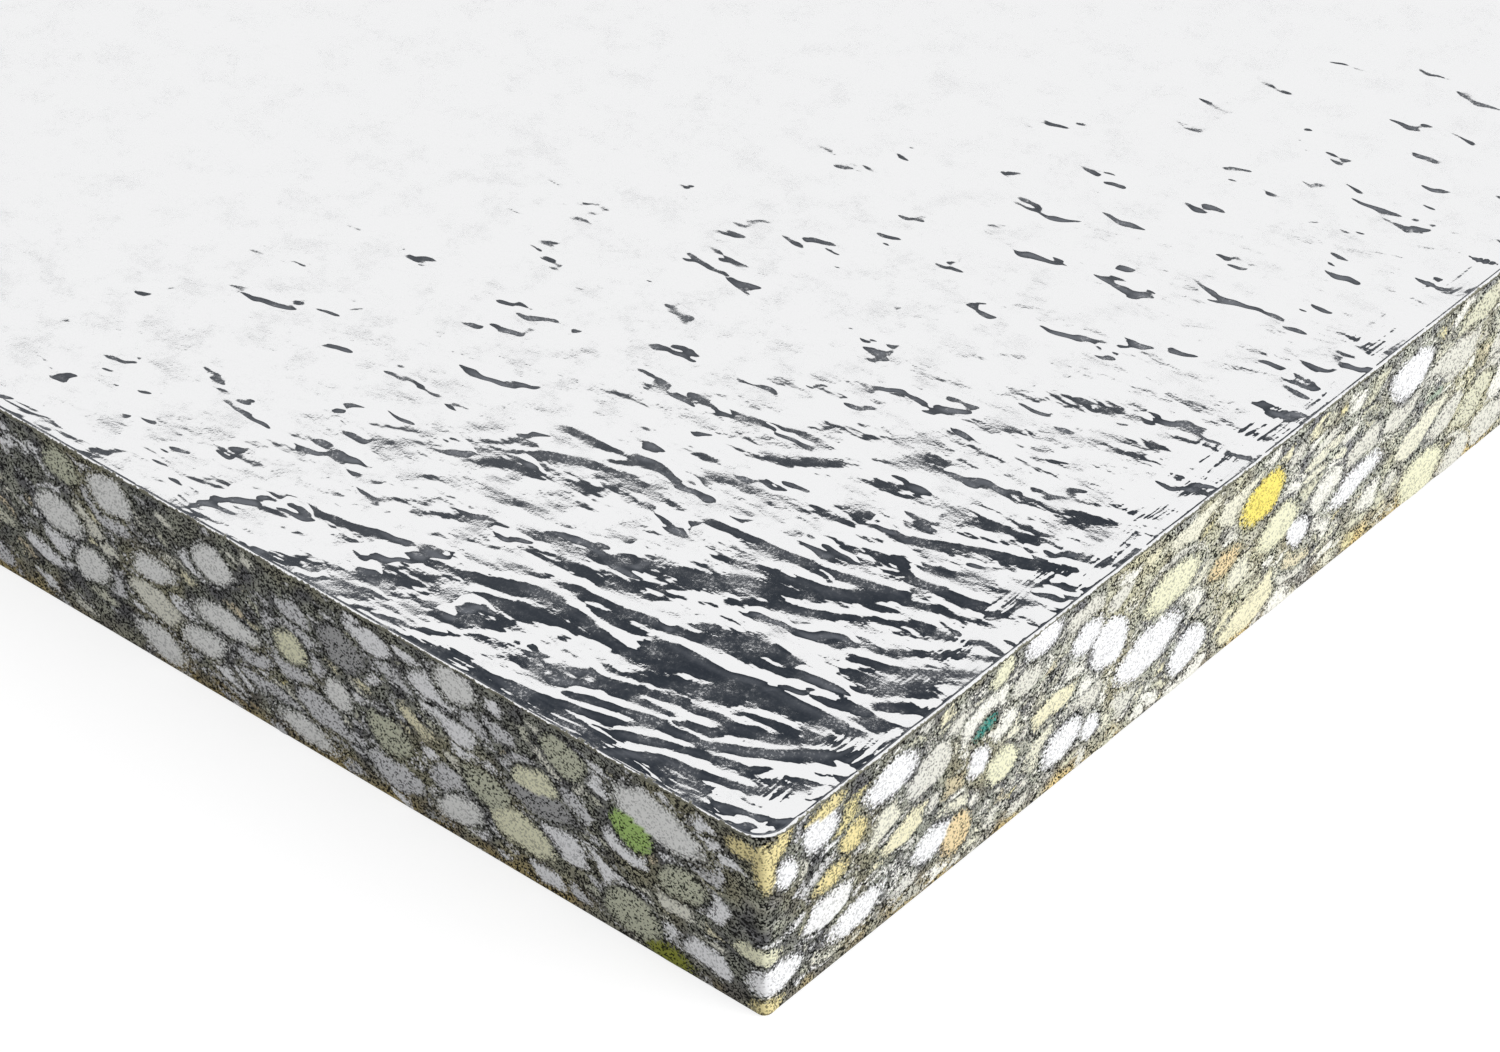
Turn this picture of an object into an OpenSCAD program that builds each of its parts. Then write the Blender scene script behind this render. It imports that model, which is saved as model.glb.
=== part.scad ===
// Sound deadening sheet: a slab of bonded foam chips faced on top with an aluminium film.
// The origin is the middle of the underside. X runs along the length and Z points up, to the film.

/* [Sheet] */
// Length of the sheet, along X
sheet_length = 1000; // [300:10:2400]
// Width of the sheet, along Y
sheet_width = 600; // [200:10:1300]
// Full thickness, with the film
sheet_thickness = 35; // [15:1:60]
// Radius in plan of the four sawn corners
sawn_corner_r = 1.5; // [0.5:0.1:4]

/* [Film] */
// Thickness of the aluminium film
film_thickness = 0.2; // [0.1:0.05:0.5]
// How far in from the sawn edge the film starts to roll down
pressed_width = 1.2; // [0.6:0.1:4]
// How far down the film has rolled when it reaches the sawn edge
pressed_drop = 0.9; // [0.3:0.1:3]

/* [Worn corner] */
// How far behind the sawn corner the film ends, along the diagonal
wear_reach = 4; // [2:0.5:10]
// How far down the sawn corner the foam is worn round
wear_depth = 2.8; // [1:0.1:8]

/* [Hidden] */
// How far a cutter runs past the faces that it cuts
overcut = 2;
// Flat steps that make up the rolled edge
roll_steps = 3;
// Facets of a full circle
round_fn = 64;

// Outline of the sheet as sawn, with its four small corner radii
module sawn_outline() {
    straight_length = sheet_length - 2 * sawn_corner_r;
    straight_width = sheet_width - 2 * sawn_corner_r;
    square([straight_length, sheet_width], center = true);
    square([sheet_length, straight_width], center = true);
    for (side_x = [-1, 1], side_y = [-1, 1])
        translate([side_x * straight_length / 2, side_y * straight_width / 2])
            circle(r = sawn_corner_r, $fn = round_fn);
}

// Section of what one rolled edge has lost: X is measured outwards from the sawn face, Y up from the top.
// The roll starts level with the top and steepens evenly towards the sawn face.
module roll_section() {
    polygon(concat(
        [for (i = [0:roll_steps])
            [-pressed_width * (1 - i / roll_steps), -pressed_drop * pow(i / roll_steps, 2)]],
        [[overcut, -pressed_drop], [overcut, overcut], [-pressed_width, overcut]]
    ));
}

// The same loss run along one edge that lies edge_distance from the middle
module roll_cut(edge_distance, edge_length) {
    translate([edge_distance, edge_length / 2 + overcut, 0])
        rotate([90, 0, 0])
            linear_extrude(height = edge_length + 2 * overcut) roll_section();
}

// Slab with all four top edges rolled down, from the floor up to top_z
module rolled_slab(top_z) {
    difference() {
        linear_extrude(height = top_z) sawn_outline();
        for (turn = [0, 180])
            rotate(turn) translate([0, 0, top_z]) roll_cut(sheet_length / 2, sheet_width);
        for (turn = [90, 270])
            rotate(turn) translate([0, 0, top_z]) roll_cut(sheet_width / 2, sheet_length);
    }
}

// Moves its children to the worn corner at +X, -Y, with X pointing outwards along the diagonal.
// The starting point is where the rounded sawn corner crosses that diagonal.
module at_worn_corner(z) {
    setback = sawn_corner_r * (1 - 1 / sqrt(2));
    translate([sheet_length / 2 - setback, -sheet_width / 2 + setback, z])
        rotate(-45)
            children();
}

// What the worn corner has lost: a block across the corner, less the round nose that stays.
// The nose leaves the top level and is steepest where it runs out down the sawn corner.
module worn_corner_cut(top_z) {
    nose_r = (pow(wear_reach, 2) + pow(wear_depth, 2)) / (2 * wear_depth);
    half_width = wear_reach + overcut + sawn_corner_r;
    at_worn_corner(top_z)
        difference() {
            translate([-wear_reach, -half_width, -wear_depth])
                cube([wear_reach + overcut, 2 * half_width, wear_depth + overcut]);
            translate([-wear_reach, half_width + overcut, -nose_r])
                rotate([90, 0, 0])
                    cylinder(h = 2 * (half_width + overcut), r = nose_r, $fn = round_fn);
        }
}

// One slab of foam chips bonded under pressure, with sawn sides and one worn top corner
module foam_core() {
    foam_top = sheet_thickness - film_thickness;
    color("darkgray")
        difference() {
            rolled_slab(foam_top);
            worn_corner_cut(foam_top);
        }
}

// Aluminium film stuck over the whole top, rolled down at the sawn edges.
// It stops short of the worn corner.
module foil_facing() {
    half_width = wear_reach + overcut + sawn_corner_r;
    color("silver")
        difference() {
            rolled_slab(sheet_thickness);
            rolled_slab(sheet_thickness - film_thickness);
            at_worn_corner(sheet_thickness - pressed_drop - film_thickness - overcut)
                translate([-wear_reach, -half_width, 0])
                    cube([wear_reach + overcut, 2 * half_width, pressed_drop + film_thickness + 2 * overcut]);
        }
}

foam_core();
foil_facing();
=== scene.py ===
import math

import bpy
import numpy as np
from mathutils import Matrix, Vector, noise


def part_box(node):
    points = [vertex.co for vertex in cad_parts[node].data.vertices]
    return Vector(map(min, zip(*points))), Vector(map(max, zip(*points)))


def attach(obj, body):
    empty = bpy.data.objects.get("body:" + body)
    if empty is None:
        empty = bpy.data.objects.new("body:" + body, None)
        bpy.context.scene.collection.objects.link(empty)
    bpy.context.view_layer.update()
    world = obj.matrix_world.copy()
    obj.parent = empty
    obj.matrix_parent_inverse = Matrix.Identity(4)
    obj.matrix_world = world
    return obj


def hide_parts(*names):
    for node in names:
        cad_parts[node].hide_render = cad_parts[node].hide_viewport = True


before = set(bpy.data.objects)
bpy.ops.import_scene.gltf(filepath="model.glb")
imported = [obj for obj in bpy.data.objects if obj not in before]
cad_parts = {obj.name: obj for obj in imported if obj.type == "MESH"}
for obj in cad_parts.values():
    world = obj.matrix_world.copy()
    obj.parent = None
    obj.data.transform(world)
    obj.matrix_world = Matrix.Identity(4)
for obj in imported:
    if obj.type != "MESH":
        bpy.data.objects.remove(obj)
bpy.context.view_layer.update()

# Camera. It looks down on the near corner of the sheet, as in the photograph.
# Its angles and distance were found by fitting the sheet's edges and corner to the photograph.
MM = 0.001
PHOTO_WIDTH_PX = 1500
FOCAL_PX = 5599.0
SENSOR_MM = 36.0
VIEW_AZIMUTH = math.radians(40.977)
VIEW_ELEVATION = math.radians(38.575)
VIEW_ROLL = math.radians(-0.328)
VIEW_DISTANCE_MM = 833.213
CORNER_RIGHT_MM = 2.295
CORNER_UP_MM = -73.482

scene = bpy.context.scene
scene.view_settings.view_transform = "Standard"
slab_low, slab_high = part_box("foam_core")
near_corner = Vector((slab_high.x, slab_low.y, slab_low.z))
view_back = Vector((
    math.sin(VIEW_AZIMUTH) * math.cos(VIEW_ELEVATION),
    -math.cos(VIEW_AZIMUTH) * math.cos(VIEW_ELEVATION),
    math.sin(VIEW_ELEVATION),
))
level_right = Vector((math.cos(VIEW_AZIMUTH), math.sin(VIEW_AZIMUTH), 0))
level_up = view_back.cross(level_right)
view_right = math.cos(VIEW_ROLL) * level_right + math.sin(VIEW_ROLL) * level_up
view_up = math.cos(VIEW_ROLL) * level_up - math.sin(VIEW_ROLL) * level_right
camera_place = near_corner + MM * (
    VIEW_DISTANCE_MM * view_back - CORNER_RIGHT_MM * view_right - CORNER_UP_MM * view_up
)
camera_data = bpy.data.cameras.new("camera")
camera_data.sensor_width = SENSOR_MM
camera_data.lens = FOCAL_PX / PHOTO_WIDTH_PX * SENSOR_MM
camera_data.clip_end = 100
camera = bpy.data.objects.new("camera", camera_data)
camera_turn = Matrix((view_right, view_up, view_back)).transposed().to_4x4()
camera.matrix_world = Matrix.Translation(camera_place) @ camera_turn
scene.collection.objects.link(camera)
scene.camera = camera


# Studio. White walls stand round the sheet up to about 39 degrees, under a dark ceiling with a pale
# panel overhead, and the mirror-like film shows the line where wall and ceiling meet.
# The foam is lit by an even grey instead, so the white of the walls adds no light to it.
WALL_WHITE = (1.0, 1.0, 1.0, 1)
CEILING_DARK = (0.033, 0.040, 0.051, 1)
CEILING_GREY = (0.135, 0.145, 0.165, 1)
CEILING_FADE = 0.30
PANEL_PALE = (0.80, 0.80, 0.81, 1)
EVEN_GREY = (0.47, 0.472, 0.48, 1)
WALL_TOP = math.sin(math.radians(39.1))
WALL_TOP_BLUR = 0.003
CEILING_LEAN = -0.01
PANEL_EDGE = math.sin(math.radians(81))
PANEL_BLUR = 0.008


def feed(tree, socket, value):
    """Links a socket to another node's output, or gives it a plain value."""
    if isinstance(value, bpy.types.NodeSocket):
        tree.links.new(value, socket)
    else:
        socket.default_value = value


def add_node(tree, kind, inputs=None, **settings):
    made = tree.nodes.new(kind)
    for name, value in settings.items():
        setattr(made, name, value)
    for key, value in (inputs or {}).items():
        feed(tree, made.inputs[key], value)
    return made


def calc(tree, operation, *values):
    made = add_node(tree, "ShaderNodeMath", operation=operation)
    for socket, value in zip(made.inputs, values):
        feed(tree, socket, value)
    return made.outputs[0]


def vector_calc(tree, operation, *values):
    made = add_node(tree, "ShaderNodeVectorMath", operation=operation)
    for socket, value in zip(made.inputs, values):
        feed(tree, socket, value)
    return made.outputs["Value" if operation in ("LENGTH", "DOT_PRODUCT") else "Vector"]


def ease(tree, value, low, high, start=0.0, end=1.0):
    """Goes smoothly from start to end as value goes from low to high."""
    inputs = {"Value": value, "From Min": low, "From Max": high, "To Min": start, "To Max": end}
    return add_node(tree, "ShaderNodeMapRange", inputs, interpolation_type="SMOOTHSTEP").outputs["Result"]


def mix_colour(tree, share, first, second):
    made = add_node(tree, "ShaderNodeMix", data_type="RGBA")
    feed(tree, made.inputs[0], share)
    feed(tree, made.inputs[6], first)
    feed(tree, made.inputs[7], second)
    return made.outputs[2]


world = bpy.data.worlds.new("studio")
world.use_nodes = True
scene.world = world
studio = world.node_tree
studio.nodes.clear()
seen_way = add_node(studio, "ShaderNodeTexCoord").outputs["Generated"]
ceiling_slant = (CEILING_LEAN * level_right.x, CEILING_LEAN * level_right.y, 1)
seen_height = vector_calc(studio, "DOT_PRODUCT", seen_way, ceiling_slant)
above_wall = ease(studio, seen_height, WALL_TOP - WALL_TOP_BLUR, WALL_TOP + WALL_TOP_BLUR)
on_panel = ease(studio, seen_height, PANEL_EDGE - PANEL_BLUR, PANEL_EDGE + PANEL_BLUR)
ceiling_share = ease(studio, seen_height, WALL_TOP, WALL_TOP + CEILING_FADE)
ceiling = mix_colour(studio, ceiling_share, CEILING_DARK, CEILING_GREY)
ceiling = mix_colour(studio, on_panel, ceiling, PANEL_PALE)
mirrored_room = mix_colour(studio, above_wall, WALL_WHITE, ceiling)
ray = add_node(studio, "ShaderNodeLightPath")
shown_mirrored = calc(studio, "MAXIMUM", ray.outputs["Is Glossy Ray"], ray.outputs["Is Transmission Ray"])
room = mix_colour(studio, shown_mirrored, EVEN_GREY, mirrored_room)
backdrop = mix_colour(studio, ray.outputs["Is Camera Ray"], room, WALL_WHITE)
background = add_node(studio, "ShaderNodeBackground", {"Color": backdrop, "Strength": 1.0})
add_node(studio, "ShaderNodeOutputWorld", {"Surface": background.outputs[0]})


# Floor. One large matt white floor. The camera and the film see it as white,
# and it keeps a faint shadow of the sheet.
FLOOR_HALF = 30.0
FLOOR_GAP = 0.0002
FLOOR_BOUNCE = (0.60, 0.60, 0.60, 1)
FLOOR_SHADOWED = (0.30, 0.30, 0.30, 1)
FLOOR_GLOW = 0.80

floor_mesh = bpy.data.meshes.new("floor")
floor_corners = [(-FLOOR_HALF, -FLOOR_HALF, 0), (FLOOR_HALF, -FLOOR_HALF, 0),
                 (FLOOR_HALF, FLOOR_HALF, 0), (-FLOOR_HALF, FLOOR_HALF, 0)]
floor_mesh.from_pydata(floor_corners, [], [(0, 1, 2, 3)])
floor = bpy.data.objects.new("floor", floor_mesh)
floor.location.z = slab_low.z - FLOOR_GAP
scene.collection.objects.link(floor)
floor_white = bpy.data.materials.new("floor_white")
floor_white.use_nodes = True
floor_mesh.materials.append(floor_white)
tree = floor_white.node_tree
tree.nodes.clear()
ray = add_node(tree, "ShaderNodeLightPath")
mirrored = calc(tree, "MAXIMUM", ray.outputs["Is Glossy Ray"], ray.outputs["Is Transmission Ray"])
seen = calc(tree, "MAXIMUM", ray.outputs["Is Camera Ray"], mirrored)
floor_colour = mix_colour(tree, seen, FLOOR_BOUNCE, FLOOR_SHADOWED)
matt = add_node(tree, "ShaderNodeBsdfDiffuse", {"Color": floor_colour})
glow = add_node(tree, "ShaderNodeEmission", {"Strength": calc(tree, "MULTIPLY", seen, FLOOR_GLOW)})
lit_floor = add_node(tree, "ShaderNodeAddShader", {0: matt.outputs[0], 1: glow.outputs[0]})
add_node(tree, "ShaderNodeOutputMaterial", {"Surface": lit_floor.outputs[0]})


# Lamps. A large soft key stands off the sheet's end at +X and a weaker fill off its near side,
# so the end face is bright and the near side lies in soft shade. The film doesn't mirror them.
KEY_PLACE = (3.6, 0.7, 1.7)
KEY_AIM = (0.3, 0.0, 0.0)
KEY_SIZE = 2.0
KEY_WATTS = 118
FILL_PLACE = (0.2, -3.4, 1.6)
FILL_AIM = (0.2, -0.2, 0.0)
FILL_SIZE = 2.4
FILL_WATTS = 14


def add_lamp(name, place, aim, size, power):
    lamp_data = bpy.data.lights.new(name, "AREA")
    lamp_data.shape = "SQUARE"
    lamp_data.size = size
    lamp_data.energy = power
    lamp = bpy.data.objects.new(name, lamp_data)
    lamp.location = place
    lamp.rotation_euler = (Vector(place) - Vector(aim)).to_track_quat("Z", "Y").to_euler()
    lamp.visible_glossy = False
    scene.collection.objects.link(lamp)


add_lamp("key", KEY_PLACE, KEY_AIM, KEY_SIZE, KEY_WATTS)
add_lamp("fill", FILL_PLACE, FILL_AIM, FILL_SIZE, FILL_WATTS)


# Foam slab. Chips of flexible foam, mostly pale, are coated with binder, pressed flat in a block and sawn
# into slabs, so every side shows cut chips in a grey crumb. The film keeps three top edges tidy,
# and the near corner has rubbed round and bare.
SAWN_CORNER_R = 1.5
CORNER_STEPS = 4
FILM_CORNER_R = 5.0
SIDE_ROWS = 48
SIDE_TOP_MM = 34.30
UNDER_FILM_MM = 34.36
NEAR_STEP = 0.7
FAR_STEP = 3.0
STEP_GROWTH = 1.1
FRONT_SEEN = 172.0
END_SEEN = 196.0
NOSE_DROP = 2.4
NOSE_CURVE = 1.3
BAND_INSETS = (0.35, 0.7, 1.1, 1.45, 2.2, 3.2, 4.4, 7.0)
BAND_ROLL = 1.45
FOOT_INSET = 0.25
FOOT_SHARE = 0.008

# Half the sheet's length and width in mm, and where the near side stands in metres.
half_x = slab_high.x / MM
half_y = slab_high.y / MM
near_y = -half_y * MM


def graded_line(length, near_length, near_step, far_step):
    """Places from 0 to length: near_step apart at first, then growing to far_step apart."""
    places = [0.0]
    step = near_step
    while places[-1] < length:
        if places[-1] > near_length:
            step = min(step * STEP_GROWTH, far_step)
        places.append(places[-1] + step)
    return np.array(places) * length / places[-1]


def outline_columns(radius):
    """Centres and outward normals all round the sheet, from the near corner and along the +X end first."""
    inner_x = half_x - radius
    inner_y = half_y - radius
    end_places = graded_line(2 * inner_y, END_SEEN, NEAR_STEP, FAR_STEP) - inner_y
    front_places = inner_x - graded_line(2 * inner_x, FRONT_SEEN, NEAR_STEP, FAR_STEP)[::-1]
    far_y = np.linspace(inner_y, -inner_y, int(2 * inner_y / FAR_STEP))
    far_x = np.linspace(inner_x, -inner_x, int(2 * inner_x / FAR_STEP))
    centres = []
    normals = []
    runs = [
        (np.full_like(end_places, inner_x), end_places, 0),
        (far_x, np.full_like(far_x, inner_y), 90),
        (np.full_like(far_y, -inner_x), far_y, 180),
        (front_places, np.full_like(front_places, -inner_y), 270),
    ]
    for run_x, run_y, facing in runs:
        angle = math.radians(facing)
        centres += list(zip(run_x, run_y))
        normals += [(math.cos(angle), math.sin(angle))] * len(run_x)
        for turn in range(1, CORNER_STEPS):
            angle = math.radians(facing + 90 * turn / CORNER_STEPS)
            centres.append((run_x[-1], run_y[-1]))
            normals.append((math.cos(angle), math.sin(angle)))
    return np.array(centres), np.array(normals)


def ring_at(centres, normals, radius, inset):
    """The outline moved inwards by inset, with its corner radius used up first."""
    shrink = max(inset - radius, 0.0)
    inner_x = half_x - radius
    inner_y = half_y - radius
    drawn_in = np.array([(inner_x - shrink) / inner_x, (inner_y - shrink) / inner_y])
    return centres * drawn_in + normals * max(radius - inset, 0.0)


def worn_nose(ring):
    """How far the rubbed near corner has dropped, from nothing at the film to most at the sawn corner."""
    from_centre = np.stack([ring[:, 0] - half_x, -half_y - ring[:, 1]], 1) + FILM_CORNER_R
    from_centre = np.maximum(from_centre, 0.0)
    beyond = np.maximum(np.hypot(from_centre[:, 0], from_centre[:, 1]) - FILM_CORNER_R, 0.0)
    return NOSE_DROP * (beyond / (FILM_CORNER_R * (math.sqrt(2) - 1))) ** NOSE_CURVE


def grid_faces(rows, columns):
    """Quads between rows of points, each row a closed ring of columns."""
    quads = []
    for row in range(rows - 1):
        low = row * columns
        high = low + columns
        for here in range(columns):
            after = (here + 1) % columns
            quads.append((low + here, low + after, high + after, high + here))
    return quads


def make_piece(name, places, faces):
    mesh = bpy.data.meshes.new(name)
    mesh.from_pydata((places * MM).tolist(), [], faces)
    mesh.polygons.foreach_set("use_smooth", np.ones(len(faces), bool))
    piece = bpy.data.objects.new(name, mesh)
    scene.collection.objects.link(piece)
    return piece


def store(piece, name, kind, values):
    """Keeps a value for each point of a piece, under a name that the nodes read."""
    kept = piece.data.attributes.new(name, kind, "POINT")
    field = "value" if kind == "FLOAT" else "vector"
    kept.data.foreach_set(field, values.astype(np.float32).ravel())


centres, normals = outline_columns(SAWN_CORNER_R)
column_count = len(centres)
side_ring = ring_at(centres, normals, SAWN_CORNER_R, 0.0)
side_top = SIDE_TOP_MM - worn_nose(side_ring)
rows = [np.column_stack([ring_at(centres, normals, SAWN_CORNER_R, FOOT_INSET), np.zeros(column_count)])]
for share in np.linspace(FOOT_SHARE, 1.0, SIDE_ROWS):
    rows.append(np.column_stack([side_ring, side_top * share]))
for inset in BAND_INSETS:
    band = ring_at(centres, normals, SAWN_CORNER_R, inset)
    roll = min(inset / BAND_ROLL, 1.0)
    level = SIDE_TOP_MM + (UNDER_FILM_MM - SIDE_TOP_MM) * math.sqrt(1 - (1 - roll) ** 2)
    rows.append(np.column_stack([band, level - worn_nose(band)]))
places = np.concatenate(rows)
faces = grid_faces(len(rows), column_count)
faces.append(tuple(range(column_count - 1, -1, -1)))
faces.append(tuple(range((len(rows) - 1) * column_count, len(rows) * column_count)))
foam = make_piece("foam_slab", places, faces)

# Outward direction of every point, for the relief: sideways on the sides, and none on the underside
# and under the film.
side_facing = np.column_stack([normals, np.zeros(column_count)])
outward = np.zeros((len(places), 3))
outward[column_count:(SIDE_ROWS + 1) * column_count] = np.tile(side_facing, (SIDE_ROWS, 1))
store(foam, "outward", "FLOAT_VECTOR", outward)

# The chips that stand out in the photograph. Each has its place along its side, measured from the near
# corner, its height above the floor, its width, how tall it is, its tilt and its shade.
SHADES = {
    "white": (0.87, 0.87, 0.88),
    "pale": (0.80, 0.80, 0.78),
    "cream": (0.78, 0.77, 0.57),
    "sage": (0.52, 0.53, 0.41),
    "straw": (0.76, 0.66, 0.34),
    "butter": (0.88, 0.74, 0.18),
    "tan": (0.74, 0.60, 0.36),
    "leaf": (0.36, 0.52, 0.17),
    "olive": (0.26, 0.28, 0.05),
    "grey": (0.36, 0.36, 0.36),
    "teal": (0.05, 0.28, 0.24),
}
FRONT_CHIPS = [
    (20.6, 27.2, 18.4, 7.8, 3, "pale"),
    (26.0, 22.8, 8.0, 7.0, -25, "leaf"),
    (46.0, 20.5, 8.4, 5.3, -30, "cream"),
    (45.0, 17.2, 14.0, 5.0, -10, "grey"),
    (55.8, 13.6, 9.5, 7.0, 0, "sage"),
    (26.5, 5.8, 10.5, 7.0, 0, "sage"),
    (49.0, 9.1, 12.5, 6.5, 0, "cream"),
    (62.0, 6.0, 9.5, 5.0, -30, "pale"),
    (61.7, 30.9, 9.0, 6.5, 0, "pale"),
    (39.6, 29.2, 8.5, 6.5, 0, "sage"),
    (16.2, 17.5, 9.0, 5.5, -15, "sage"),
    (149.4, 19.3, 11.0, 7.0, 0, "pale"),
    (142.8, 12.2, 8.0, 6.5, -20, "pale"),
    (127.8, 19.3, 10.0, 5.0, -20, "pale"),
    (114.0, 27.0, 9.0, 7.0, 0, "pale"),
    (136.7, 29.3, 10.0, 8.0, 0, "pale"),
    (147.7, 29.8, 8.0, 6.0, 0, "sage"),
    (116.8, 10.0, 10.0, 5.5, -25, "pale"),
    (127.3, 4.4, 11.0, 5.5, 0, "pale"),
    (111.8, 16.6, 14.0, 5.0, -10, "pale"),
    (97.5, 19.3, 7.0, 6.0, 0, "cream"),
    (76.5, 13.3, 9.0, 7.0, 0, "sage"),
    (94.7, 3.9, 12.0, 4.0, 0, "pale"),
    (87.0, 15.0, 6.0, 6.0, 0, "pale"),
    (86.0, 25.0, 10.0, 7.0, 0, "grey"),
    (2.0, 11.6, 8.0, 3.6, 0, "cream"),
    (19.0, 1.6, 9.0, 4.0, 0, "olive"),
    (4.0, 31.6, 6.0, 3.4, -14, "straw"),
]
END_CHIPS = [
    (3.0, 6.3, 11.0, 6.0, 0, "white"),
    (13.0, 29.2, 8.0, 6.0, 0, "white"),
    (29.4, 28.4, 12.5, 6.5, 0, "white"),
    (5.1, 25.8, 5.0, 6.0, 0, "white"),
    (21.0, 6.9, 14.0, 5.5, 0, "white"),
    (38.9, 9.1, 9.5, 5.5, 0, "white"),
    (70.4, 8.0, 10.0, 7.0, 0, "white"),
    (78.0, 6.9, 5.0, 5.0, 0, "white"),
    (65.7, 32.3, 9.0, 6.0, 0, "white"),
    (76.3, 25.8, 8.0, 5.0, 0, "white"),
    (92.3, 13.5, 17.0, 8.0, 0, "white"),
    (82.0, 21.0, 9.0, 10.0, 30, "white"),
    (162.0, 27.5, 12.0, 8.0, 0, "white"),
    (147.5, 14.2, 15.0, 5.0, 0, "white"),
    (131.6, 12.9, 6.0, 7.0, 0, "white"),
    (102.4, 6.5, 10.0, 8.0, 0, "white"),
    (50.0, 17.7, 5.5, 6.0, 0, "white"),
    (20.2, 23.0, 6.5, 5.0, 0, "straw"),
    (14.9, 17.7, 7.5, 3.5, 0, "straw"),
    (44.8, 6.9, 7.0, 7.0, 0, "tan"),
    (55.9, 13.6, 7.0, 7.0, 0, "cream"),
    (55.4, 32.0, 6.0, 4.5, 0, "cream"),
    (126.0, 17.3, 11.0, 7.0, 0, "cream"),
    (98.0, 22.4, 14.0, 7.0, 0, "cream"),
    (166.5, 4.0, 12.0, 9.0, 0, "cream"),
    (121.5, 25.6, 11.4, 8.0, 0, "butter"),
    (112.0, 18.6, 7.0, 4.0, 0, "tan"),
    (51.5, 23.6, 4.0, 2.0, 0, "teal"),
    (-0.2, 29.8, 5.4, 10.4, 4, "straw"),
    (3.4, 31.8, 7.5, 3.6, 24, "straw"),
    (14.0, 32.6, 7.5, 3.2, 0, "straw"),
    (0.0, 1.0, 7.0, 3.0, 0, "straw"),
]
CHIP_DEPTH = 0.45
CHIP_BEND = 1.0
CHIP_BEND_SCALE = 5.0
CHIP_BEND_SEED = 5
CHIP_LEAN = 10
NO_CHIP = -30.0

chip_depth = np.full(len(places), NO_CHIP)
chip_tint = np.full((len(places), 3), 0.5)
noise.seed_set(CHIP_BEND_SEED)
bent_places = places + [noise.noise_vector(Vector(place) / CHIP_BEND_SCALE) * CHIP_BEND for place in places]
for chips, along, across, sign in ((FRONT_CHIPS, 0, 1, -1.0), (END_CHIPS, 1, 0, 1.0)):
    for place, height, width, tall, tilt, shade in chips:
        centre = np.array([half_x, -half_y, height])
        centre[along] += sign * place
        offset = bent_places - centre
        turn = math.radians(tilt + CHIP_LEAN) * sign
        run = offset[:, along] * math.cos(turn) + offset[:, 2] * math.sin(turn)
        rise = offset[:, 2] * math.cos(turn) - offset[:, along] * math.sin(turn)
        reach = np.sqrt((run / (width / 2)) ** 2 + (rise / (tall / 2)) ** 2
                        + (offset[:, across] / (CHIP_DEPTH * width)) ** 2)
        depth = (1 - reach) * min(width, tall) / 2
        nearer = depth > chip_depth
        chip_depth[nearer] = depth[nearer]
        chip_tint[nearer] = SHADES[shade]
store(foam, "chip_depth", "FLOAT", chip_depth)
store(foam, "chip_tint", "FLOAT_VECTOR", chip_tint)

# The other chips come in three sizes: width in mm, the share of the cells that hold a chip, how far a chip
# keeps back from its cell's border in mm, and where in the pattern it starts.
CHIP_SIZES = ((12.5, 0.84, 1.6, 1), (7.8, 0.80, 1.2, 2), (4.6, 0.60, 0.7, 3))
CHIP_SCATTER = 0.95
CHIP_INSET_LEAST = 0.45
CHIP_REACH_LEAST = 0.36
CHIP_REACH_MORE = 0.30
CHIP_ROUNDING = 0.12
CHIP_START = (7.3, 3.1, 5.7)
CHIP_GAP = 1.1
CHIP_SLANT = (0.22, -0.22, 1.0)
CHIP_FLATNESS = 1.9
WANDER_SCALE = 0.12
WANDER_MM = 3.0

# Where chips are fewer or more: the two places between which it changes, and the mm added to their depth
# at each.
FEW_AT_TOP = (0.0310, 0.0345, 0.0, -2.6)
FEW_AT_FOOT = (0.0, 0.0025, -1.3, 0.0)
FEW_AT_CORNER = (0.003, 0.009, -3.0, 0.0)
MORE_ON_END = (near_y + 0.02, near_y + 0.09, 0.0, 0.75)


def random_chips(tree, place, size, keep, inset, seed):
    """One size of chip, as rounded cells: the depth inside a chip in mm, and a random colour for each."""
    moved = vector_calc(tree, "ADD", place, tuple(seed * start for start in CHIP_START))
    shared = {"Vector": moved, "Scale": 1.0 / size, "Randomness": CHIP_SCATTER}
    cell = add_node(tree, "ShaderNodeTexVoronoi", shared, feature="F1")
    border = add_node(tree, "ShaderNodeTexVoronoi", shared, feature="DISTANCE_TO_EDGE")
    dice = split(tree, cell.outputs["Color"])
    gap = calc(tree, "MULTIPLY_ADD", dice[1], inset, inset * CHIP_INSET_LEAST)
    less_gap = calc(tree, "MULTIPLY", gap, -1.0)
    from_border = calc(tree, "MULTIPLY_ADD", border.outputs["Distance"], size, less_gap)
    chip_reach = calc(tree, "MULTIPLY_ADD", dice[2], size * CHIP_REACH_MORE, size * CHIP_REACH_LEAST)
    from_middle = calc(tree, "MULTIPLY_ADD", cell.outputs["Distance"], -size, chip_reach)
    depth = calc(tree, "SMOOTH_MIN", from_border, from_middle, size * CHIP_ROUNDING)
    dropped = calc(tree, "MULTIPLY", calc(tree, "GREATER_THAN", dice[0], keep), NO_CHIP)
    return calc(tree, "ADD", depth, dropped), cell.outputs["Color"]


def under_chips(tree, depth, over):
    """Chips cut back to leave a gap round the ones already there."""
    return calc(tree, "MINIMUM", depth, calc(tree, "MULTIPLY_ADD", over, -1.0, -CHIP_GAP))


def split(tree, vector):
    return add_node(tree, "ShaderNodeSeparateXYZ", {0: vector}).outputs


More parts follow.
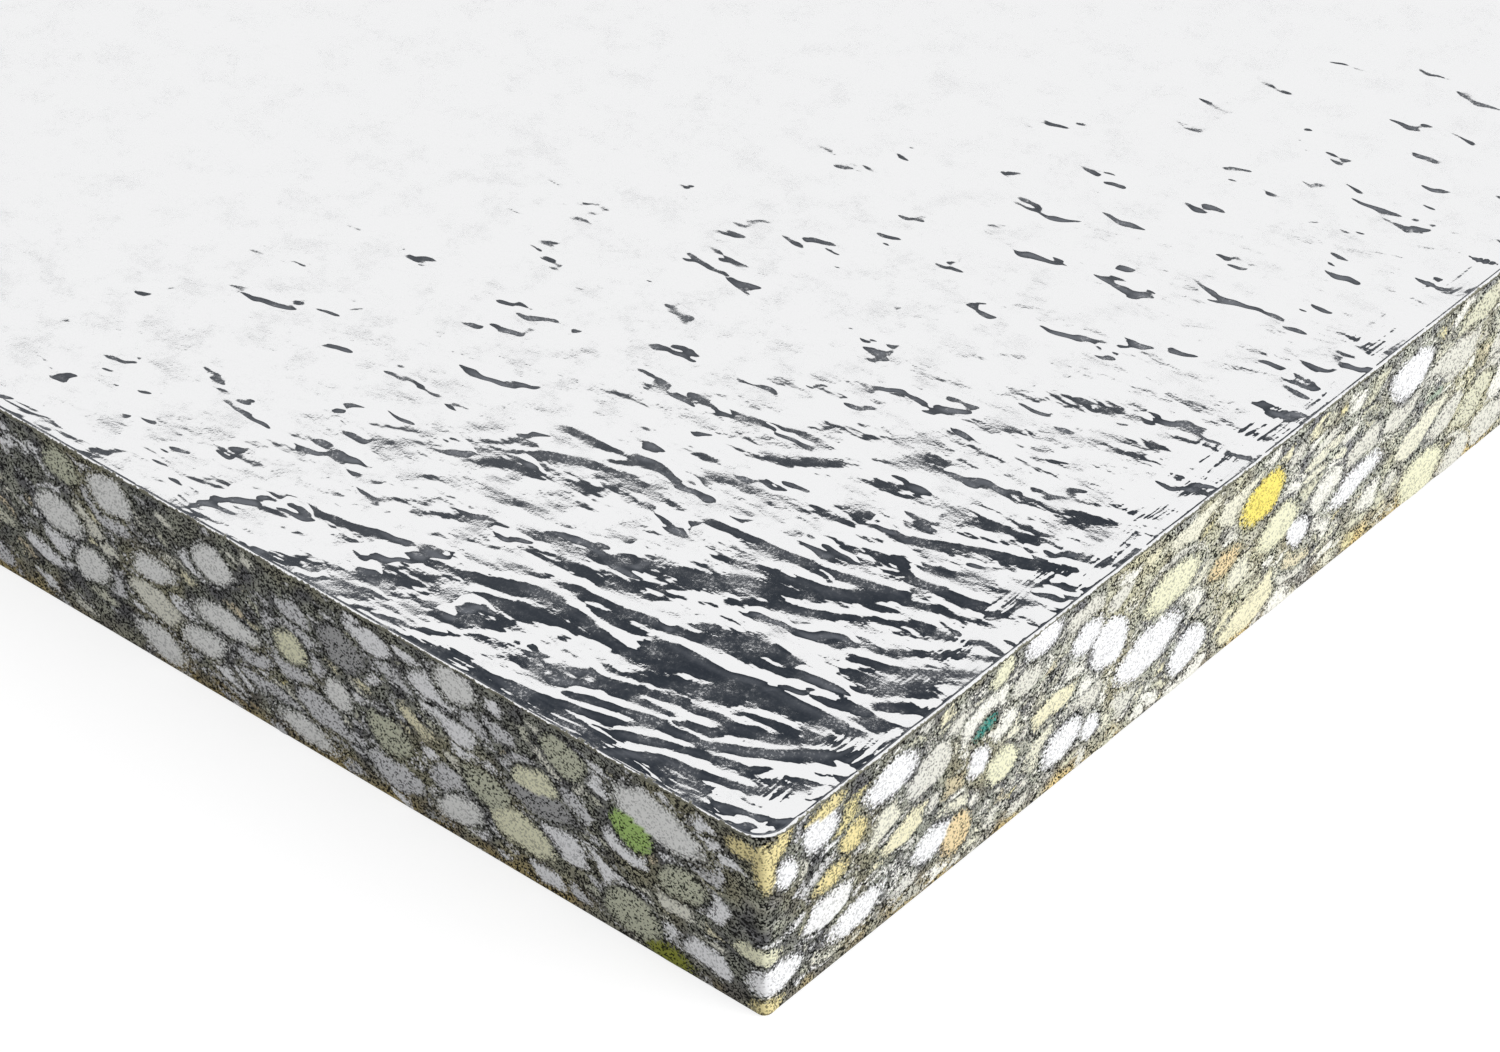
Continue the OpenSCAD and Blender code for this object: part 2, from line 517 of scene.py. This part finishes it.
def noise_node(tree, place, scale, detail, roughness=0.5):
    """Outputs of a noise texture: one value, and a colour of three."""
    inputs = {"Vector": place, "Scale": scale, "Detail": detail, "Roughness": roughness}
    return add_node(tree, "ShaderNodeTexNoise", inputs).outputs


def corner_distance(tree, place):
    """Level distance from the upright edge at the near corner, in metres."""
    offset = vector_calc(tree, "MULTIPLY_ADD", place, (1, 1, 0), (-half_x * MM, half_y * MM, 0))
    return vector_calc(tree, "LENGTH", offset)


def chip_field(tree, place, placed_depth):
    """Depth inside the nearest chip in mm, and the random colour of the chip there."""
    apart = split(tree, place)
    slanted = vector_calc(tree, "DOT_PRODUCT", place, CHIP_SLANT)
    flattened = add_node(tree, "ShaderNodeCombineXYZ", {
        0: apart[0], 1: apart[1], 2: calc(tree, "MULTIPLY", slanted, CHIP_FLATNESS)}).outputs[0]
    flattened = vector_calc(tree, "MULTIPLY", flattened, (1000.0, 1000.0, 1000.0))
    wander = noise_node(tree, flattened, WANDER_SCALE, 1.0)["Color"]
    wander = vector_calc(tree, "MULTIPLY_ADD", wander, (2 * WANDER_MM,) * 3, (-WANDER_MM,) * 3)
    bent = vector_calc(tree, "ADD", flattened, wander)
    sparse = ease(tree, apart[2], *FEW_AT_TOP)
    from_corner = corner_distance(tree, place)
    for where, change in ((apart[2], FEW_AT_FOOT), (from_corner, FEW_AT_CORNER), (apart[1], MORE_ON_END)):
        sparse = calc(tree, "ADD", sparse, ease(tree, where, *change))
    total = placed_depth
    dice = None
    for size, keep, inset, seed in CHIP_SIZES:
        depth, colour = random_chips(tree, bent, size, keep, inset, seed)
        depth = under_chips(tree, calc(tree, "ADD", depth, sparse), total)
        if dice is None:
            dice = colour
        else:
            dice = mix_colour(tree, calc(tree, "GREATER_THAN", depth, total), dice, colour)
        total = calc(tree, "MAXIMUM", total, depth)
    return total, dice


def stored(tree, name, kind="FLOAT"):
    return add_node(tree, "GeometryNodeInputNamedAttribute", {"Name": name}, data_type=kind).outputs[0]


def relief_tree(name, height_at):
    """A node group that moves each point along its outward direction by height_at(tree, place) metres."""
    tree = bpy.data.node_groups.new(name, "GeometryNodeTree")
    tree.interface.new_socket("Geometry", in_out="INPUT", socket_type="NodeSocketGeometry")
    tree.interface.new_socket("Geometry", in_out="OUTPUT", socket_type="NodeSocketGeometry")
    given = add_node(tree, "NodeGroupInput").outputs[0]
    place = add_node(tree, "GeometryNodeInputPosition").outputs[0]
    offset = vector_calc(tree, "SCALE", stored(tree, "outward", "FLOAT_VECTOR"))
    feed(tree, offset.node.inputs["Scale"], height_at(tree, place))
    moved = add_node(tree, "GeometryNodeSetPosition", {"Geometry": given, "Offset": offset}).outputs[0]
    add_node(tree, "NodeGroupOutput", {0: moved})
    return tree


def apply_relief(piece, tree):
    """Moves a piece's points for good, and takes the node group away again."""
    relief = piece.modifiers.new("relief", "NODES")
    relief.node_group = tree
    shaped = piece.evaluated_get(bpy.context.evaluated_depsgraph_get())
    plain = piece.data
    piece.data = bpy.data.meshes.new_from_object(shaped)
    piece.modifiers.clear()
    piece.data.name = piece.name
    bpy.data.meshes.remove(plain)
    bpy.data.node_groups.remove(tree)


CHIP_SWELL = 0.10
SWELL_FROM = -0.6
SWELL_TO = 1.6
CRUMB_SWELL = 0.10
CRUMB_SCALE = 900.0


def foam_relief(tree, place):
    """Height of the foam's surface in metres: the chips stand a little proud of the crumb."""
    depth, _ = chip_field(tree, place, stored(tree, "chip_depth"))
    swell = ease(tree, depth, SWELL_FROM, SWELL_TO, -CHIP_SWELL, CHIP_SWELL)
    crumb = noise_node(tree, place, CRUMB_SCALE, 2.0)[0]
    swell = calc(tree, "MULTIPLY_ADD", calc(tree, "SUBTRACT", crumb, 0.5), CRUMB_SWELL * 2, swell)
    return calc(tree, "MULTIPLY", swell, MM)


apply_relief(foam, relief_tree("foam_relief", foam_relief))

# Shades of the random chips, each from its share of the dice upwards.
CHIP_SHADES = (
    (0.00, (0.62, 0.62, 0.63)),
    (0.26, (0.84, 0.84, 0.85)),
    (0.56, (0.74, 0.73, 0.64)),
    (0.72, (0.56, 0.56, 0.46)),
    (0.82, (0.76, 0.72, 0.52)),
    (0.88, (0.38, 0.38, 0.37)),
    (0.95, (0.64, 0.56, 0.40)),
    (0.97, (0.70, 0.62, 0.30)),
    (0.985, (0.42, 0.33, 0.20)),
    (0.995, (0.12, 0.26, 0.24)),
)
CRUMB_DARK = (0.115, 0.115, 0.118, 1)
CRUMB_PALE = (0.262, 0.268, 0.225, 1)
CRUMB_WARM = (0.34, 0.31, 0.17, 1)
CRUMB_FOOT = (0.42, 0.32, 0.13, 1)
CREAM = (0.88, 0.85, 0.62, 1)
CREAM_REACH = 0.05
CREAM_SHARE = 0.35
WARM_SHARE = 0.44
FOOT_HIGH = 0.006
FOOT_WARM = 0.75
# Painted light and shade on the crumb: how far from the near side it changes, its darkening on the near side
# and its lightening along the end.
PAINTED_LIGHT_REACH = 0.10
CRUMB_NEAR_PAINTED_SHADE = 0.70
CRUMB_END_PAINTED_LIGHT = 1.30
LAYER_SCALES = (150.0, 150.0, 900.0)
LAYER_SHARE = 3.2
PATCH_SCALE = 210.0
WARMTH_SCALE = 75.0
BORDER_BLUR_MM = 1.2
GRAIN_MM = 0.29
GRAIN_BUMP = 0.35
GRAIN_DEEP = 0.00014

foam_finish = bpy.data.materials.new("chip_foam")
foam_finish.use_nodes = True
tree = foam_finish.node_tree
tree.nodes.clear()
place = add_node(tree, "ShaderNodeTexCoord").outputs["Object"]
placed = add_node(tree, "ShaderNodeAttribute", attribute_name="chip_depth").outputs["Fac"]
placed_tint = add_node(tree, "ShaderNodeAttribute", attribute_name="chip_tint").outputs["Color"]
depth, dice = chip_field(tree, place, placed)
grain = add_node(tree, "ShaderNodeTexVoronoi", {"Vector": place, "Scale": 1000.0 / GRAIN_MM})
speck = split(tree, grain.outputs["Color"])
patch = noise_node(tree, place, PATCH_SCALE, 1.0)[0]
warmth = noise_node(tree, place, WARMTH_SCALE, 2.0)[0]

# The binder and the torn cells blur each chip's border into the crumb.
soft_depth = calc(tree, "MULTIPLY_ADD", calc(tree, "SUBTRACT", speck[1], 0.5), BORDER_BLUR_MM, depth)
in_chip = ease(tree, soft_depth, -0.50, 0.70)
in_placed = calc(tree, "GREATER_THAN", calc(tree, "SUBTRACT", placed, depth), -0.01)
ramp = add_node(tree, "ShaderNodeValToRGB", {0: split(tree, dice)[1]})
ramp.color_ramp.interpolation = "CONSTANT"
stops = ramp.color_ramp.elements
for number, (position, colour) in enumerate(CHIP_SHADES):
    stop = stops[number] if number < 2 else stops.new(position)
    stop.position = position
    stop.color = (*colour, 1)
apart = split(tree, place)
creamier = ease(tree, apart[1], near_y, near_y + CREAM_REACH, 0.0, CREAM_SHARE)
tint = mix_colour(tree, creamier, ramp.outputs[0], CREAM)
tint = mix_colour(tree, in_placed, tint, placed_tint)

# The crumb between the chips: a grey of mixed tone, with painted shade close round the chips, painted
# shade on the near side and painted light along the end. Here and there the binder has yellowed it, most of
# all at the foot.
crumb = mix_colour(tree, ease(tree, patch, 0.32, 0.68), CRUMB_DARK, CRUMB_PALE)
crumb = mix_colour(tree, ease(tree, warmth, 0.46, 0.66, 0.0, WARM_SHARE), crumb, CRUMB_WARM)
low_down = ease(tree, apart[2], 0.0, FOOT_HIGH, FOOT_WARM, 0.0)
foot = calc(tree, "MULTIPLY", low_down, ease(tree, warmth, 0.40, 0.58, 0.15, 1.0))
crumb = mix_colour(tree, foot, crumb, CRUMB_FOOT)
# Painted shade: the crumb is darker close round the chips, which stand proud of it.
painted_shade_round_chips = ease(tree, depth, -2.2, -0.3, 1.10, 0.76)
# Painted shade on the near side and painted light along the end: the crumb is darker on the near side and
# paler on the end.
lit = ease(tree, apart[1], near_y, near_y + PAINTED_LIGHT_REACH, CRUMB_NEAR_PAINTED_SHADE, CRUMB_END_PAINTED_LIGHT)

# Close to the near corner's upright edge the crumb lies in thin pressed layers.
layers = noise_node(tree, vector_calc(tree, "MULTIPLY", place, LAYER_SCALES), 1.0, 1.0)[0]
layered = ease(tree, corner_distance(tree, place), 0.002, 0.007, LAYER_SHARE, 0.0)
layered = calc(tree, "MULTIPLY", calc(tree, "SUBTRACT", layers, 0.5), layered)
# One factor for the crumb: painted shade round the chips and on the near side, painted light along the end,
# and the pressed layers.
shade = calc(tree, "MULTIPLY", calc(tree, "MULTIPLY", painted_shade_round_chips, lit), calc(tree, "ADD", layered, 1.0))
shaded = vector_calc(tree, "SCALE", crumb)
feed(tree, shaded.node.inputs["Scale"], shade)
tone = mix_colour(tree, in_chip, shaded, tint)

# Cut cells: a fine stipple of dark pores and pale walls, strong in the crumb and faint in the chips.
crumb_stipple = ease(tree, speck[0], 0.34, 0.60, 0.04, 1.75)
pitted = ease(tree, split(tree, tint)[1], 0.50, 0.84, 0.95, 0.34)
chip_stipple = calc(tree, "MULTIPLY_ADD", ease(tree, speck[0], 0.12, 0.40, -1.0, 0.08), pitted, 1.0)
more_in_chip = calc(tree, "MULTIPLY", in_chip, calc(tree, "SUBTRACT", chip_stipple, crumb_stipple))
foam_colour = vector_calc(tree, "SCALE", tone)
feed(tree, foam_colour.node.inputs["Scale"], calc(tree, "ADD", more_in_chip, crumb_stipple))
bump = add_node(tree, "ShaderNodeBump", {"Height": speck[0], "Strength": GRAIN_BUMP, "Distance": GRAIN_DEEP})
foam_shader = add_node(tree, "ShaderNodeBsdfPrincipled", {
    "Base Color": foam_colour, "Normal": bump.outputs[0], "Roughness": 0.95, "Specular IOR Level": 0.15})
add_node(tree, "ShaderNodeOutputMaterial", {"Surface": foam_shader.outputs[0]})
foam.data.materials.append(foam_finish)
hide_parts("foam_core")
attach(foam, "root")


# Aluminium film. One thin bright film glued over the whole top of the slab. The foam under it is soft,
# so it lies in long fine wrinkles, and the saw has drawn its edge down over the foam and left it ragged.
FILM_TOP_MM = 34.82
FILM_UNDER_MM = 34.40
FILM_LIP_MM = 34.25
FILM_EDGE_ROLL = 0.30
FILM_EDGE_DROP = 0.26
ROLL_STEEPEST = 0.98
FILM_PROUD = 0.05
FILM_TUCK = 1.5
FILM_THIN = 0.1
END_RISE = 0.14
RISE_WIDE = 7.0
RISE_LONG = 14.0
RISE_UNEVEN = 0.7
FILM_STEP = 0.8
FILM_FAR_STEP = 8.0
FILM_EDGE_PLACES = (0.0, 0.12, 0.28, 0.48, 0.72, 1.0, 1.4, 1.9, 2.45, 3.0, 3.6, 4.3, 5.0)
SEEN_ALONG_X = 130.0
SEEN_ALONG_Y = 140.0


def film_lines(half, seen):
    """Grid lines across the sheet from -half to half, dense at both edges and over the part that is seen."""
    near = [half - place for place in FILM_EDGE_PLACES]
    step = FILM_STEP
    while near[-1] > -half + FILM_EDGE_PLACES[-1] + step * 0.6:
        if near[-1] < half - seen:
            step = min(step * STEP_GROWTH, FILM_FAR_STEP)
        near.append(near[-1] - step)
    far = [-half + place for place in FILM_EDGE_PLACES[::2]]
    kept = [place for place in near if place > far[-1] + 0.5]
    return np.array(sorted(kept + far))


lines_x = film_lines(half_x, SEEN_ALONG_X)
lines_y = -film_lines(half_y, SEEN_ALONG_Y)[::-1]
grid_x, grid_y = np.meshgrid(lines_x, lines_y, indexing="ij")
film_place = np.stack([grid_x, grid_y, np.zeros_like(grid_x)], -1)

# The square grid's corners are drawn in to the sheet's round ones.
for side_x in (-1, 1):
    for side_y in (-1, 1):
        radius = FILM_CORNER_R if (side_x, side_y) == (1, -1) else SAWN_CORNER_R
        arc_centre = np.array([side_x * (half_x - radius), side_y * (half_y - radius)])
        square = (film_place[..., :2] - arc_centre) * (side_x, side_y)
        corner = (square > 0).all(-1)
        reach = square[corner]
        longest = reach.max(-1, keepdims=True)
        drawn = reach * longest / np.hypot(reach[:, :1], reach[:, 1:])
        film_place[corner, :2] = arc_centre + drawn * (side_x, side_y)

edge_inset = np.minimum(half_x - np.abs(grid_x), half_y - np.abs(grid_y))
rolled = np.clip(1 - edge_inset / FILM_EDGE_ROLL, 0, 1)
film_height = FILM_TOP_MM - FILM_EDGE_DROP * (1 - np.sqrt(1 - ROLL_STEEPEST * rolled ** 2))

# Along the end the film rises a little before it rolls over the edge.
uneven = np.array([1 + RISE_UNEVEN * noise.noise(Vector((y / RISE_LONG, 0.5, 0.5))) for y in lines_y])
rise = END_RISE * uneven * np.clip(1 - (half_x - grid_x) / RISE_WIDE, 0, 1) ** 2
film_height += rise * (1 - rolled)

# The longest creases that the photograph shows, as points measured from the near corner,
# to the left along the near side and to the back along the end.
CREASES = (
    ((55.5, 2.8), (45.0, 4.6), (33.0, 7.6)),
    ((45.5, 6.9), (31.5, 11.1), (22.3, 11.5)),
    ((35.0, 13.0), (22.8, 14.2)),
    ((33.0, 5.5), (24.7, 8.4), (12.0, 12.5)),
    ((31.5, 1.3), (24.7, 5.2), (10.1, 7.9)),
    ((21.8, 11.3), (15.0, 15.0), (11.5, 17.9), (6.2, 21.8)),
    ((39.8, 26.2), (29.6, 25.9), (24.7, 27.6), (6.2, 28.1)),
    ((67.2, 21.8), (61.3, 23.0), (54.0, 21.8), (44.2, 20.3)),
    ((28.6, 35.7), (20.8, 35.0), (8.1, 32.5)),
    ((55.9, 52.5), (34.5, 54.5), (21.8, 57.9)),
    ((27.6, 64.7), (22.3, 61.5), (11.1, 63.7)),
    ((11.5, 2.8), (5.0, 4.4), (0.3, 6.7)),
    ((8.6, 13.5), (0.3, 16.9)),
)
CREASE_HIGH = 0.13
CREASE_WIDE = 0.75
FINE_CREASES = 24
FINE_NEAREST = (5, 3)
FINE_FARTHEST = (110, 80)
FINE_WAY_DEG = (4, 32)
FINE_LONG = (12, 42)
FINE_SAG = (-1.5, 1.5)
FINE_HIGH = (0.04, 0.11)
crease_rng = np.random.default_rng(11)
drawn_creases = [(CREASE_HIGH, crease) for crease in CREASES]
for number in range(FINE_CREASES):
    first = crease_rng.uniform(FINE_NEAREST, FINE_FARTHEST)
    way = math.radians(crease_rng.uniform(*FINE_WAY_DEG))
    long = crease_rng.uniform(*FINE_LONG)
    sag = crease_rng.uniform(*FINE_SAG)
    onward = np.array((-math.cos(way), math.sin(way)))
    aside = np.array((math.sin(way), math.cos(way)))
    middle = first + long / 2 * onward + sag * aside
    drawn_creases.append((crease_rng.uniform(*FINE_HIGH), (first, middle, first + long * onward)))
for high, crease in drawn_creases:
    points = np.array([(half_x - left, -half_y + back) for left, back in crease])
    nearest = np.full(grid_x.shape, 1e6)
    for first, second in zip(points[:-1], points[1:]):
        run = second - first
        offset = film_place[..., :2] - first
        share = np.clip((offset @ run) / (run @ run), 0, 1)
        nearest = np.minimum(nearest, np.hypot(*np.moveaxis(offset - share[..., None] * run, -1, 0)))
    film_height += high * np.exp(-(nearest / CREASE_WIDE) ** 2) * (1 - rolled)
film_place[..., 2] = film_height

# Top of the film, then its ragged lip, and last its flat underside tucked between lip and foam.
count_x, count_y = grid_x.shape
index = np.arange(count_x * count_y).reshape(count_x, count_y)
faces = np.stack([index[:-1, :-1], index[1:, :-1], index[1:, 1:], index[:-1, 1:]], -1).reshape(-1, 4).tolist()
rim = np.concatenate([index[:-1, 0], index[-1, :-1], index[:0:-1, -1], index[0, :0:-1]])
flat_places = film_place.reshape(-1, 3)
rim_place = flat_places[rim]
rim_step = np.roll(rim_place, -1, 0) - np.roll(rim_place, 1, 0)
rim_out = np.column_stack([rim_step[:, 1], -rim_step[:, 0], np.zeros(len(rim))])
rim_out /= np.linalg.norm(rim_out, axis=1, keepdims=True)
RAGGED_MM = (-0.30, 0.15)
ragged_rng = np.random.default_rng(7)
lip_down = FILM_LIP_MM + ragged_rng.uniform(*RAGGED_MM, len(rim))
film_parts = [flat_places]
for out, level in ((FILM_PROUD, lip_down), (-FILM_PROUD, lip_down + FILM_THIN), (-FILM_TUCK, FILM_UNDER_MM)):
    ring = rim_place + rim_out * out
    ring[:, 2] = level
    film_parts.append(ring)
film_places = np.concatenate(film_parts)
loops = [rim] + [len(flat_places) + number * len(rim) + np.arange(len(rim)) for number in range(3)]
for upper, lower in zip(loops[:-1], loops[1:]):
    for a, b, c, d in zip(upper, lower, np.roll(lower, -1), np.roll(upper, -1)):
        faces.append((int(a), int(b), int(c), int(d)))
faces.append(tuple(int(i) for i in loops[-1][::-1]))
film = make_piece("foil_film", film_places, faces)

# The wrinkles near the corner go into the mesh, and those farther off are bump. The value named close
# is 1 where they are in the mesh.
CLOSE_MARGIN = 5
CLOSE_FADE = 25


def nearness(values, edge):
    return np.clip((values - (edge - CLOSE_MARGIN)) / CLOSE_FADE, 0, 1)


lift = np.zeros((len(film_places), 3))
lift[:len(flat_places), 2] = (1 - rolled).ravel()
store(film, "outward", "FLOAT_VECTOR", lift)
close_x = nearness(film_places[:, 0], half_x - SEEN_ALONG_X)
close_y = nearness(-film_places[:, 1], half_y - SEEN_ALONG_Y)
store(film, "close", "FLOAT", close_x * close_y)

# Two kinds of wrinkle, soft waves and folds with sharp backs. Each has its length and width as a factor,
# its height in mm, the share of that height that is left far from the corner, and whether it is folded.
WRINKLES = ((1.0, 1.0, 0.22, 0.11, False), (0.8, 0.55, 0.50, 0.05, True))
WRINKLE_WAY = math.radians(17)
WRINKLE_LONG = 1 / 0.026
WRINKLE_ACROSS = 1 / 0.0043
NEAR_SHARE = 0.64
WRINKLED_TO = (0.07, 0.22)
FOLDS_START = 3.7
SWAY_SCALE = 26.0
SWAY = 0.016
CALM_SCALE = 14.0
SWELL_SCALE = 45.0
SWELL_NEAR = 0.42
SWELL_FAR = 0.18
SPREAD_WAY = (-1.2, 0.8, 0)


def corner_spread(tree, place):
    """How far a place lies from the near corner, with the way along the near side counted for more."""
    from_corner = vector_calc(tree, "SUBTRACT", place, (half_x * MM, near_y, 0))
    return vector_calc(tree, "DOT_PRODUCT", from_corner, SPREAD_WAY)


def film_wrinkles(tree, place):
    """Height of the film's wrinkles in mm."""
    spread = corner_spread(tree, place)
    sway = noise_node(tree, place, SWAY_SCALE, 2.0)["Color"]
    swayed = vector_calc(tree, "MULTIPLY_ADD", sway, (SWAY, SWAY, 0.0), place)
    along = vector_calc(tree, "DOT_PRODUCT", swayed, (math.cos(WRINKLE_WAY), math.sin(WRINKLE_WAY), 0))
    across = vector_calc(tree, "DOT_PRODUCT", swayed, (-math.sin(WRINKLE_WAY), math.cos(WRINKLE_WAY), 0))
    total = 0.0
    for long, wide, high, far_share, folded in WRINKLES:
        spot = add_node(tree, "ShaderNodeCombineXYZ", {
            0: calc(tree, "MULTIPLY", along, WRINKLE_LONG * long),
            1: calc(tree, "MULTIPLY", across, WRINKLE_ACROSS * wide),
            2: FOLDS_START if folded else 0.0}).outputs[0]
        wave = calc(tree, "SUBTRACT", noise_node(tree, spot, 1.0, 2.0)[0], 0.5)
        if folded:
            wave = calc(tree, "MULTIPLY", calc(tree, "ABSOLUTE", wave), -1.0)
        strength = ease(tree, spread, *WRINKLED_TO, NEAR_SHARE * high, far_share * high)
        total = calc(tree, "MULTIPLY_ADD", wave, strength, total)
    calmer = noise_node(tree, place, CALM_SCALE, 1.0)[0]
    total = calc(tree, "MULTIPLY", total, ease(tree, calmer, 0.35, 0.6, 0.6, 1.15))
    swell = calc(tree, "SUBTRACT", noise_node(tree, place, SWELL_SCALE, 1.0)[0], 0.5)
    swell_high = ease(tree, spread, 0.07, 0.20, SWELL_NEAR, SWELL_FAR)
    return calc(tree, "MULTIPLY_ADD", swell, swell_high, total)


def film_relief(tree, place):
    share = calc(tree, "MULTIPLY", stored(tree, "close"), MM)
    return calc(tree, "MULTIPLY", film_wrinkles(tree, place), share)


apply_relief(film, relief_tree("film_relief", film_relief))

FILM_COLOUR = (0.885, 0.887, 0.893, 1)
RIM_GRAINS = (0.21, 0.205, 0.155, 1)
FINE_WAVE_SCALES = (260.0, 500.0, 1.0)
FINE_WAVE_NEAR = 0.052
FINE_WAVE_FAR = 0.018
PIT_SCALE = 2300.0
PIT_DEEP = 0.010
CLOUD_SCALE = 150.0
DIMPLE_SCALES = (74.0, 130.0, 1.0)
DIMPLE_HIGH = 0.36
EDGE_CREASE_ACROSS = 650.0
EDGE_CREASE_ALONG = 75.0
EDGE_CREASE_SWAY = 2.5
EDGE_PATCH_SCALE = 70.0
END_CREASE_HIGH = 0.20
SIDE_CREASE_HIGH = 0.10
CRUMPLE_SCALE = 420.0
CRUMPLE_HIGH = 0.26
SPECK_SCALE = 2600.0
SPECK_HAZE = 0.55
CLING_SCALES = (1500.0, 240.0)
CLING_MM = 0.9

film_finish = bpy.data.materials.new("aluminium_film")
film_finish.use_nodes = True
tree = film_finish.node_tree
tree.nodes.clear()
place = add_node(tree, "ShaderNodeTexCoord").outputs["Object"]
apart = split(tree, place)
spread = corner_spread(tree, place)
close_here = add_node(tree, "ShaderNodeAttribute", attribute_name="close").outputs["Fac"]
far_wrinkles = calc(tree, "MULTIPLY", film_wrinkles(tree, place), calc(tree, "SUBTRACT", 1.0, close_here))

# Fine ripple and pits, all over the film.
cloud = noise_node(tree, place, CLOUD_SCALE, 4.0, 0.7)[0]
pits = noise_node(tree, place, PIT_SCALE, 1.0)[0]
pits = calc(tree, "MULTIPLY", pits, ease(tree, cloud, 0.46, 0.62, 0.08, 1.0))
stretched = vector_calc(tree, "MULTIPLY", place, FINE_WAVE_SCALES)
fine_wave = noise_node(tree, stretched, 1.0, 1.6, 0.35)[0]
fine_wave = calc(tree, "MULTIPLY", fine_wave, ease(tree, spread, 0.08, 0.22, FINE_WAVE_NEAR, FINE_WAVE_FAR))
fine = calc(tree, "MULTIPLY_ADD", pits, PIT_DEEP, fine_wave)

# Shallow dimples, most of them some way off the corner.
dimple = noise_node(tree, vector_calc(tree, "MULTIPLY", place, DIMPLE_SCALES), 1.0, 2.0)[0]
dimple = ease(tree, dimple, 0.58, 0.74, 0.0, DIMPLE_HIGH)
dimple = calc(tree, "MULTIPLY", dimple, ease(tree, spread, 0.03, 0.12, 0.5, 1.0))
dimple = calc(tree, "MULTIPLY", dimple, ease(tree, spread, 0.16, 0.27, 1.0, 0.03))
fine = calc(tree, "ADD", fine, dimple)

# Thin creases along the edges, in places, and a crumple at the very corner.
from_end = calc(tree, "SUBTRACT", half_x * MM, calc(tree, "ABSOLUTE", apart[0]))
from_side = calc(tree, "SUBTRACT", half_y * MM, calc(tree, "ABSOLUTE", apart[1]))
from_edge = calc(tree, "MINIMUM", from_end, from_side)
where = noise_node(tree, place, EDGE_PATCH_SCALE, 1.0)[0]
swayed = calc(tree, "MULTIPLY", where, EDGE_CREASE_SWAY)
along_edge = add_node(tree, "ShaderNodeCombineXYZ", {
    0: calc(tree, "MULTIPLY_ADD", from_edge, EDGE_CREASE_ACROSS, swayed),
    1: calc(tree, "MULTIPLY", calc(tree, "ADD", apart[0], apart[1]), EDGE_CREASE_ALONG)}).outputs[0]
at_end = ease(tree, from_end, 0.003, 0.012, END_CREASE_HIGH, 0.0)
at_side = ease(tree, from_side, 0.002, 0.008, SIDE_CREASE_HIGH, 0.0)
edge_crease = calc(tree, "MULTIPLY", calc(tree, "MAXIMUM", at_end, at_side), ease(tree, where, 0.40, 0.54))
edge_crease = calc(tree, "MULTIPLY", noise_node(tree, along_edge, 1.0, 1.3)[0], edge_crease)
crumple = noise_node(tree, place, CRUMPLE_SCALE, 1.0)[0]
crumple = calc(tree, "MULTIPLY", crumple, ease(tree, spread, 0.007, 0.015, CRUMPLE_HIGH, 0.0))
height = calc(tree, "ADD", calc(tree, "ADD", far_wrinkles, fine), calc(tree, "ADD", edge_crease, crumple))
bump = add_node(tree, "ShaderNodeBump", {"Height": height, "Strength": 1.0, "Distance": MM})

# Dust and rubbed specks dull the film in clouds, and grains of foam cling over its torn rim.
roughness = ease(tree, cloud, 0.42, 0.72, 0.02, 0.12)
roughness = calc(tree, "ADD", roughness, ease(tree, spread, 0.06, 0.20, 0.0, 0.02))
speck = noise_node(tree, place, SPECK_SCALE, 1.0)[0]
haze = ease(tree, cloud, 0.47, 0.66, 0.02, SPECK_HAZE)
haze = calc(tree, "MULTIPLY", ease(tree, speck, 0.50, 0.72), haze)
haze = calc(tree, "ADD", haze, ease(tree, cloud, 0.40, 0.70, 0.0, 0.07))
haze = calc(tree, "ADD", haze, ease(tree, spread, 0.06, 0.17, 0.0, 0.06))
grains = noise_node(tree, place, CLING_SCALES[0], 2.0)[0]
torn = noise_node(tree, place, CLING_SCALES[1], 2.0)[0]
level = calc(tree, "MULTIPLY_ADD", apart[2], 1 / MM, -FILM_TOP_MM)
level = calc(tree, "MULTIPLY_ADD", calc(tree, "ADD", grains, torn), CLING_MM, level)
cling = ease(tree, level, 0.62, 0.74, 1.0, 0.0)
cling = calc(tree, "MULTIPLY", cling, ease(tree, from_edge, 0.0003, 0.0006, 1.0, 0.0))
film_shader = add_node(tree, "ShaderNodeBsdfPrincipled", {
    "Base Color": mix_colour(tree, cling, FILM_COLOUR, RIM_GRAINS),
    "Metallic": calc(tree, "MULTIPLY", calc(tree, "SUBTRACT", 1.0, haze), calc(tree, "SUBTRACT", 1.0, cling)),
    "Roughness": calc(tree, "MAXIMUM", roughness, calc(tree, "MULTIPLY", cling, 0.9)),
    "Normal": bump.outputs[0]})
add_node(tree, "ShaderNodeOutputMaterial", {"Surface": film_shader.outputs[0]})
film.data.materials.append(film_finish)
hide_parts("foil_facing")
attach(film, "root")
